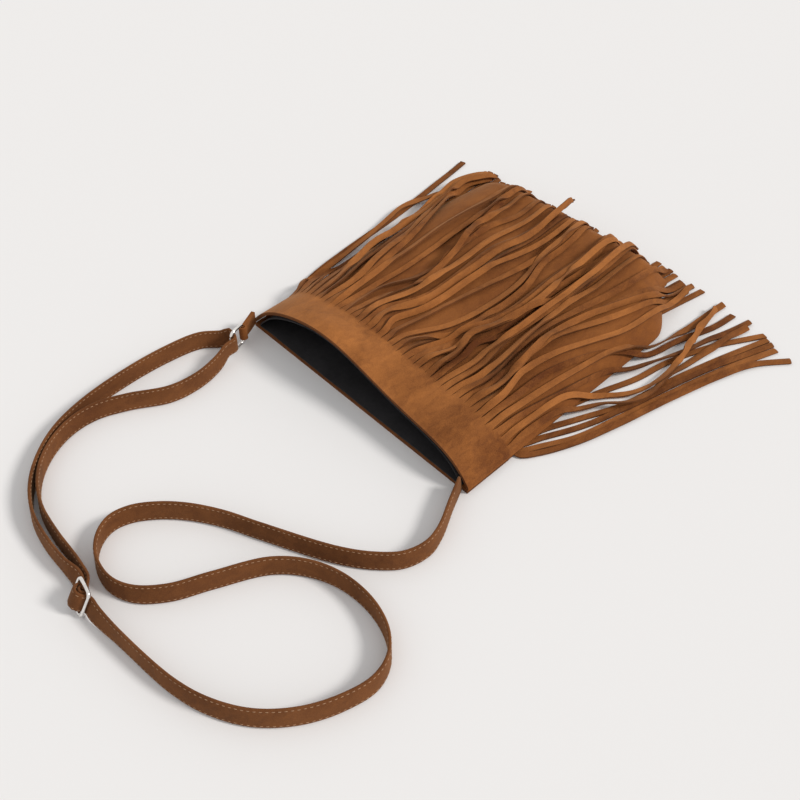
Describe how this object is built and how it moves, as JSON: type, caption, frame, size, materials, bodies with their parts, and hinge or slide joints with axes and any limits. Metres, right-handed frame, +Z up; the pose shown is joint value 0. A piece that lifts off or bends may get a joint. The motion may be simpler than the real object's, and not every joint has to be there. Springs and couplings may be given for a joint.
{
  "type": "fringed suede shoulder bag",
  "caption": "Small suede shoulder bag with long cut fringe on both faces, an open black-lined mouth and an adjustable strap with a metal ring and slider.",
  "frame": {"origin": "middle of the underside of the back fringe's uncut band, on the surface that the bag lies on", "axes": "+Z up through the bag as it lies on its back, +Y from the mouth to the bottom edge, +X across the bag"},
  "size_m": [0.3454, 0.5132, 0.0392],
  "materials": {
    "fringe_suede": "tan suede with a soft nap, cut edges",
    "panel_suede": "tan suede with a soft nap",
    "strap_suede": "tan suede, stitched along both edges",
    "lining_cloth": "black woven lining",
    "polished_metal": "polished"
  },
  "bodies": {
    "bag": {"back_fringe": "fringe_suede", "back_panel": "panel_suede", "lining_back": "lining_cloth", "lining_front": "lining_cloth", "front_panel": "panel_suede", "front_fringe": "fringe_suede", "ring_tab": "panel_suede", "shoulder_strap": "strap_suede", "strap_slider": "polished_metal"},
    "ring": {"strap_ring": "polished_metal"}
  },
  "joints": [
    {"name": "ring_swing", "type": "hinge", "parent": "bag", "child": "ring", "pos_m": [-0.1025, -0.03, 0.01005], "axis": [0, 0, 1], "range_deg": [-60, 60], "deforming": ["shoulder_strap"]}
  ]
}
